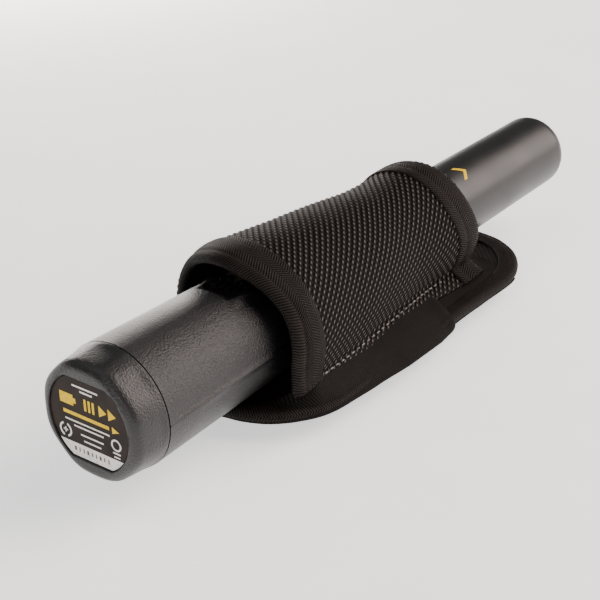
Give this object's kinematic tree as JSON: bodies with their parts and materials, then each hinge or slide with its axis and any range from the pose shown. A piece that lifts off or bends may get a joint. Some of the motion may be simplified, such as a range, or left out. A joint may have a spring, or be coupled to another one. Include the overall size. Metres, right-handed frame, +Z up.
{
  "type": "pinpointer probe",
  "caption": "Hand-held tapered metal-finding probe with a screw-on rear battery cap, carried in an open-ended woven belt holster with a taped back plate and belt loop.",
  "frame": {"origin": "centre of the object's footprint, on the underside of the belt loop that it rests on; the probe's axis is 27 mm above it", "axes": "+X along the probe from the battery cap to the sensing tip, +Z up through the button side, +Y across"},
  "size_m": [0.23, 0.0616, 0.0534],
  "materials": {
    "grip_plastic": "leather-grained moulded ABS, soft sheen",
    "tip_plastic": "smooth satin moulded ABS",
    "cap_plastic": "fine-grained moulded ABS with smooth worn ridges",
    "inner_plastic": "plain moulded ABS",
    "battery_can": "printed metal can",
    "plated_metal": "nickel-plated sheet",
    "spring_brass": "plated spring brass",
    "board": "green solder mask on glass-epoxy board",
    "phenolic": "brown phenolic board",
    "chip": "matt moulded epoxy",
    "capacitor_sleeve": "shrunk plastic sleeve",
    "lead_red": "red PVC insulation",
    "lead_blue": "blue PVC insulation",
    "copper": "enamelled copper wire",
    "ferrite": "sintered ferrite, dull grey-black",
    "bobbin_plastic": "natural nylon",
    "motor_steel": "drawn steel can",
    "speaker_metal": "stamped metal frame",
    "mesh_cloth": "fine acoustic mesh",
    "rubber": "black rubber",
    "button_rubber": "matt black rubber",
    "lamp": "clear moulded lens",
    "label": "printed vinyl label, brown with yellow and white print",
    "foam": "closed-cell foam",
    "sleeve_fabric": "coarse ballistic nylon weave",
    "lining_fabric": "brushed nylon lining",
    "tape": "ribbed nylon binding tape",
    "band_fabric": "plain nylon pack cloth",
    "webbing": "heavy nylon webbing"
  },
  "bodies": {
    "holster": {"sleeve": "sleeve_fabric", "sleeve_lining": "lining_fabric", "rear_binding": "tape", "front_binding": "tape", "side_band_left": "band_fabric", "side_band_right": "band_fabric", "back_plate": "band_fabric", "plate_binding": "tape", "belt_loop": "webbing"},
    "probe": {"housing_upper": "grip_plastic", "housing_lower": "grip_plastic", "tip_cover": "tip_plastic", "battery_box": "inner_plastic", "battery": "battery_can", "battery_terminals": "plated_metal", "contact_board": "phenolic", "contact_springs": "spring_brass", "battery_leads": "lead_red", "circuit_board": "board", "board_screws": "plated_metal", "main_chip": "chip", "small_chips": "chip", "capacitors": "capacitor_sleeve", "speaker": "speaker_metal", "speaker_mesh": "mesh_cloth", "speaker_leads": "lead_red", "power_switch": "chip", "led": "lamp", "vibration_motor": "motor_steel", "motor_cradle": "rubber", "motor_leads": "lead_blue", "ferrite_rod": "ferrite", "coil_bobbin": "bobbin_plastic", "coil_winding": "copper", "rod_supports": "inner_plastic", "coil_leads": "copper"},
    "power_button": {"power_button": "button_rubber"},
    "motor_weight": {"motor_weight": "motor_steel"},
    "cap_ring": {"o_ring": "rubber"},
    "cap": {"battery_cap": "cap_plastic", "cap_label": "label", "cap_pad": "foam"}
  },
  "joints": [
    {"name": "probe_draw", "type": "slide", "parent": "holster", "child": "probe", "axis": [-1, 0, 0], "range_m": [0, 0.178]},
    {"name": "button_press", "type": "slide", "parent": "probe", "child": "power_button", "axis": [0, 0, -1], "range_m": [0, 0.0008], "stiffness_N_per_m": 1000},
    {"name": "weight_spin", "type": "hinge", "parent": "probe", "child": "motor_weight", "pos_m": [0.0194, 0, 0.0296], "axis": [1, 0, 0], "continuous": true},
    {"name": "cap_back", "type": "slide", "parent": "probe", "child": "cap_ring", "axis": [-1, 0, 0], "range_m": [0, 0.0101]},
    {"name": "cap_turn", "type": "hinge", "parent": "cap_ring", "child": "cap", "pos_m": [-0.109, 0, 0.027], "axis": [-1, 0, 0], "range_deg": [0, 300]}
  ],
  "couplings": [
    {"joint": "cap_back", "follows": "cap_turn", "m_per_rad": 0.0019099}
  ]
}
